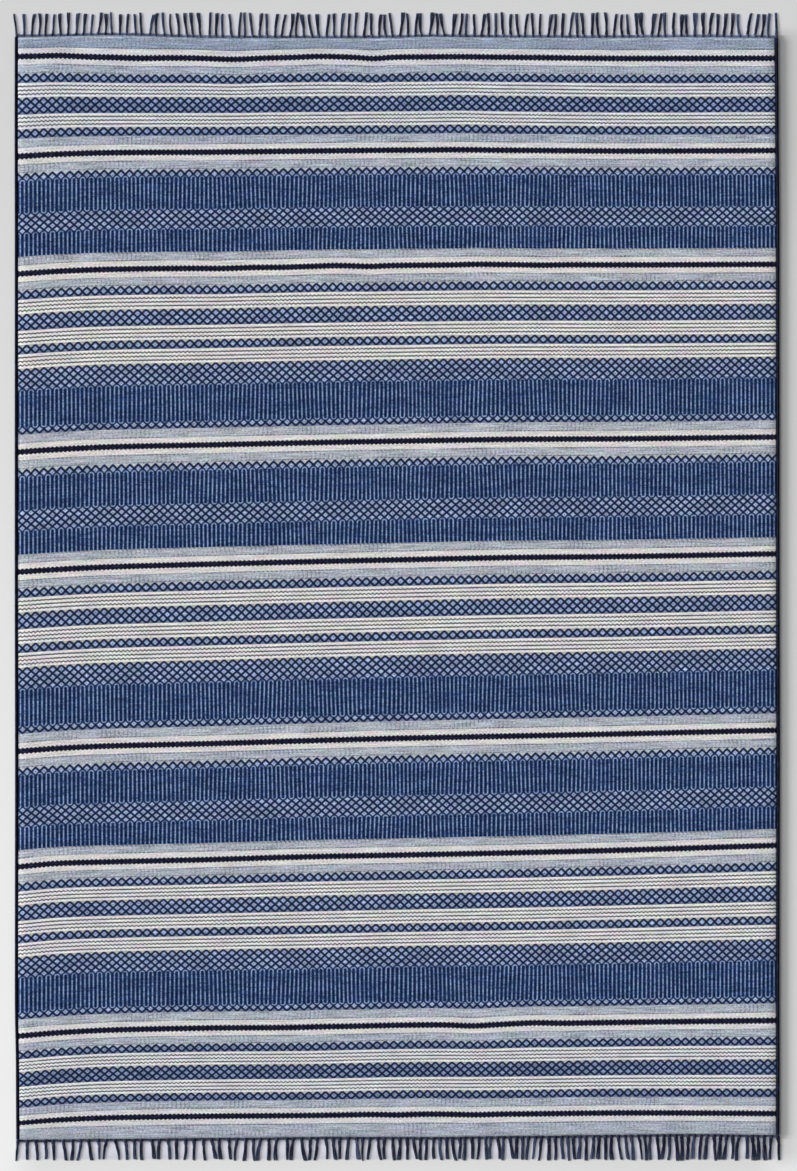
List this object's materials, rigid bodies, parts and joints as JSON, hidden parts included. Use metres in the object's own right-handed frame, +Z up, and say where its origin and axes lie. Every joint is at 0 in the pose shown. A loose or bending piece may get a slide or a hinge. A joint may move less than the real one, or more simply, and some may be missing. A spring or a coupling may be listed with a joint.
{
  "type": "outdoor rug",
  "caption": "Flat-woven striped outdoor rug lying flat, with dark bound long edges and a short knotted fringe on both ends.",
  "frame": {"origin": "middle of the rug's footprint, on the surface it lies on", "axes": "+X across the rug to the right, +Y along it towards the far fringe, +Z up out of its face"},
  "size_m": [1.2238, 1.834, 0.0052],
  "materials": {
    "woven_cloth": "flat-woven yarn in stripes of navy, blue-grey and off-white",
    "binding_yarn": "near-black navy overcast yarn, matt",
    "fringe_yarn": "dark blue-grey loose yarn, matt"
  },
  "bodies": {
    "root": {"rug_field": "woven_cloth", "edge_binding_left": "binding_yarn", "edge_binding_right": "binding_yarn", "fringe_far": "fringe_yarn", "fringe_near": "fringe_yarn"}
  },
  "joints": []
}
